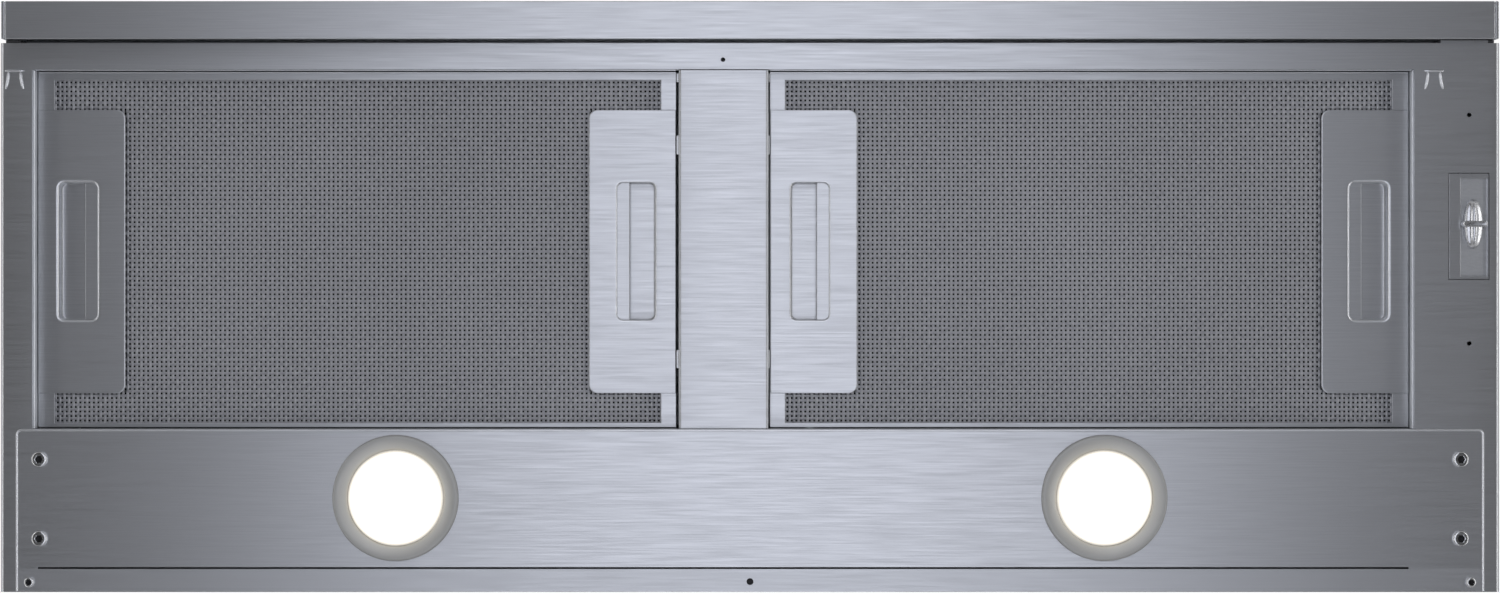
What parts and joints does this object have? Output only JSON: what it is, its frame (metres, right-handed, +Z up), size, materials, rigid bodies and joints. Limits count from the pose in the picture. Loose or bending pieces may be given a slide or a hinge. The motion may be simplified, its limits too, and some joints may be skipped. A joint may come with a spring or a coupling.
{
  "type": "slide-out range hood",
  "caption": "Slide-out cooker hood with a full-width pull bar, hinged mesh grease filters, lamps, a slide control, a fan housing and a round duct collar.",
  "frame": {"origin": "centre of the lowest plane, the underside of the front bar", "axes": "+Z up through the duct collar, front bar toward -Y, +X along the width"},
  "size_m": [0.7604, 0.299, 0.3],
  "materials": {
    "steel": "fine brushed grain along the width",
    "galvanised": "galvanised sheet with spangle",
    "zinc": "bright zinc plated",
    "chrome": "polished",
    "aluminium": "satin",
    "woven": "woven wire",
    "lamp_ring": "warm grey satin",
    "lamp_lens": "opal, lit",
    "smoke_glass": "tinted and polished",
    "black_plastic": "fine grained",
    "grey_plastic": "fine grained",
    "board": "lacquered",
    "motor_paint": "satin"
  },
  "bodies": {
    "hood": {"lower_pan": "steel", "left_filter_rail": "steel", "right_filter_rail": "steel", "centre_divider": "steel", "lamp_panel": "steel", "panel_screws": "zinc", "rear_screws": "zinc", "left_lamp_bezel": "lamp_ring", "left_lamp_lens": "lamp_lens", "left_lamp_body": "aluminium", "right_lamp_bezel": "lamp_ring", "right_lamp_lens": "lamp_lens", "right_lamp_body": "aluminium", "lamp_spring_clips": "zinc", "switch_plate": "steel", "switch_channel": "steel", "slide_switch_body": "black_plastic", "left_outer_runner": "zinc", "right_outer_runner": "zinc", "top_plate": "galvanised", "fan_housing": "galvanised", "housing_cover": "galvanised", "housing_rivets": "zinc", "duct_collar": "galvanised", "cable_gland": "black_plastic", "blower_wrap": "galvanised", "left_blower_side": "galvanised", "right_blower_side": "galvanised", "motor_body": "motor_paint", "motor_bracket": "galvanised", "run_capacitor": "aluminium", "electronics_box": "black_plastic", "electronics_lid": "black_plastic", "circuit_board": "board", "microswitch_body": "black_plastic"},
    "pull_out": {"front_bar": "steel", "left_end_cap": "steel", "right_end_cap": "steel", "carriage_frame": "zinc", "glass_screen": "smoke_glass", "left_inner_runner": "zinc", "right_inner_runner": "zinc"},
    "left_filter": {"left_filter_frame": "steel", "left_filter_cloth": "woven", "left_outer_handle": "steel", "left_inner_handle": "steel"},
    "right_filter": {"right_filter_frame": "steel", "right_filter_cloth": "woven", "right_inner_handle": "steel", "right_outer_handle": "steel"},
    "left_outer_latch_body": {"left_outer_latch": "steel"},
    "left_inner_latch_body": {"left_inner_latch": "steel"},
    "right_inner_latch_body": {"right_inner_latch": "steel"},
    "right_outer_latch_body": {"right_outer_latch": "steel"},
    "knob": {"control_knob": "chrome"},
    "fan_wheel": {"impeller": "black_plastic", "motor_shaft": "zinc"},
    "front_flap": {"front_damper_flap": "aluminium"},
    "rear_flap": {"rear_damper_flap": "aluminium"},
    "plunger": {"microswitch_plunger": "grey_plastic"}
  },
  "joints": [
    {"name": "pull_out_slide", "type": "slide", "parent": "hood", "child": "pull_out", "axis": [0, -1, 0], "range_m": [0, 0.165]},
    {"name": "left_filter_hinge", "type": "hinge", "parent": "hood", "child": "left_filter", "pos_m": [-0.0377, 0, 0.0144], "axis": [0, -1, 0], "range_deg": [0, 70]},
    {"name": "right_filter_hinge", "type": "hinge", "parent": "hood", "child": "right_filter", "pos_m": [0.0102, 0, 0.0144], "axis": [0, 1, 0], "range_deg": [0, 70]},
    {"name": "left_outer_latch_slide", "type": "slide", "parent": "left_filter", "child": "left_outer_latch_body", "axis": [1, 0, 0], "range_m": [0, 0.0045], "stiffness_N_per_m": 400, "springref_m": -0.003},
    {"name": "left_inner_latch_slide", "type": "slide", "parent": "left_filter", "child": "left_inner_latch_body", "axis": [-1, 0, 0], "range_m": [0, 0.0045], "stiffness_N_per_m": 400, "springref_m": -0.003},
    {"name": "right_inner_latch_slide", "type": "slide", "parent": "right_filter", "child": "right_inner_latch_body", "axis": [1, 0, 0], "range_m": [0, 0.0045], "stiffness_N_per_m": 400, "springref_m": -0.003},
    {"name": "right_outer_latch_slide", "type": "slide", "parent": "right_filter", "child": "right_outer_latch_body", "axis": [-1, 0, 0], "range_m": [0, 0.0045], "stiffness_N_per_m": 400, "springref_m": -0.003},
    {"name": "control_knob_slide", "type": "slide", "parent": "hood", "child": "knob", "axis": [0, 1, 0], "range_m": [-0.009, 0.009]},
    {"name": "fan_spin", "type": "hinge", "parent": "hood", "child": "fan_wheel", "pos_m": [0, -0.024, 0.154], "axis": [1, 0, 0], "continuous": true},
    {"name": "front_flap_hinge", "type": "hinge", "parent": "hood", "child": "front_flap", "pos_m": [0, 0.0123, 0.275], "axis": [-1, 0, 0], "range_deg": [0, 78]},
    {"name": "rear_flap_hinge", "type": "hinge", "parent": "hood", "child": "rear_flap", "pos_m": [0, 0.0187, 0.275], "axis": [1, 0, 0], "range_deg": [0, 78]},
    {"name": "microswitch_press", "type": "slide", "parent": "hood", "child": "plunger", "axis": [0, 1, 0], "range_m": [0, 0.003], "stiffness_N_per_m": 300, "springref_m": -0.004}
  ]
}
